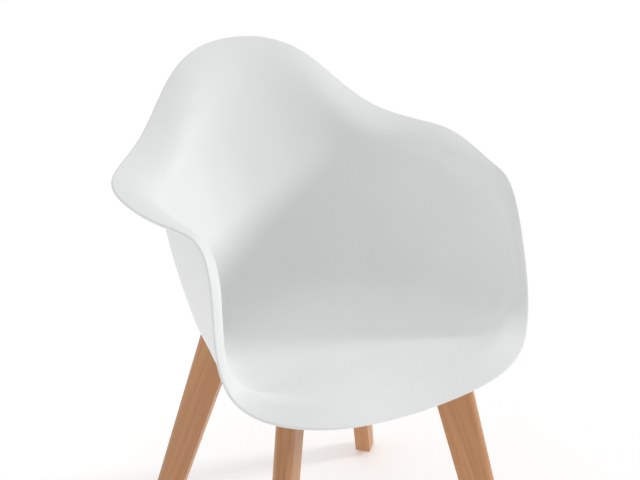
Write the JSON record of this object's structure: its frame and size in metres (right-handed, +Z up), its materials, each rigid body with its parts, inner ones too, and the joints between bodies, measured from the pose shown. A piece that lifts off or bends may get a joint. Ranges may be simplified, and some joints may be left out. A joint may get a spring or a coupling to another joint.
{
  "type": "dining armchair",
  "caption": "Moulded plastic bucket armchair with a rolled rim, on a half-lapped wooden cross frame with flat, splayed, tapering beech legs.",
  "frame": {"origin": "middle of the chair's footprint, on the floor under the feet", "axes": "+Z up, -Y towards the front lip of the seat, X across the arms"},
  "size_m": [0.5688, 0.5603, 0.8209],
  "materials": {
    "white_plastic": "satin, fine moulded texture",
    "beech": "satin lacquered beech",
    "beech_dowel": "plain beech, fluted stock",
    "black_steel": "black powder coat",
    "zinc_steel": "zinc plated",
    "brass": "turned brass",
    "rubber": "black rubber",
    "nylon": "brown nylon"
  },
  "bodies": {
    "root": {"seat_shell": "white_plastic", "shell_inserts": "brass", "isolating_pads": "rubber", "mounting_plate": "black_steel", "shell_screws": "zinc_steel", "shell_washers": "zinc_steel", "plate_screws": "zinc_steel", "leg_dowels": "beech_dowel", "glide_nails": "zinc_steel", "cross_rail_lower": "beech", "cross_rail_upper": "beech", "leg_front_left": "beech", "leg_front_right": "beech", "leg_rear_left": "beech", "leg_rear_right": "beech", "glide_front_left": "nylon", "glide_front_right": "nylon", "glide_rear_left": "nylon", "glide_rear_right": "nylon"}
  },
  "joints": []
}
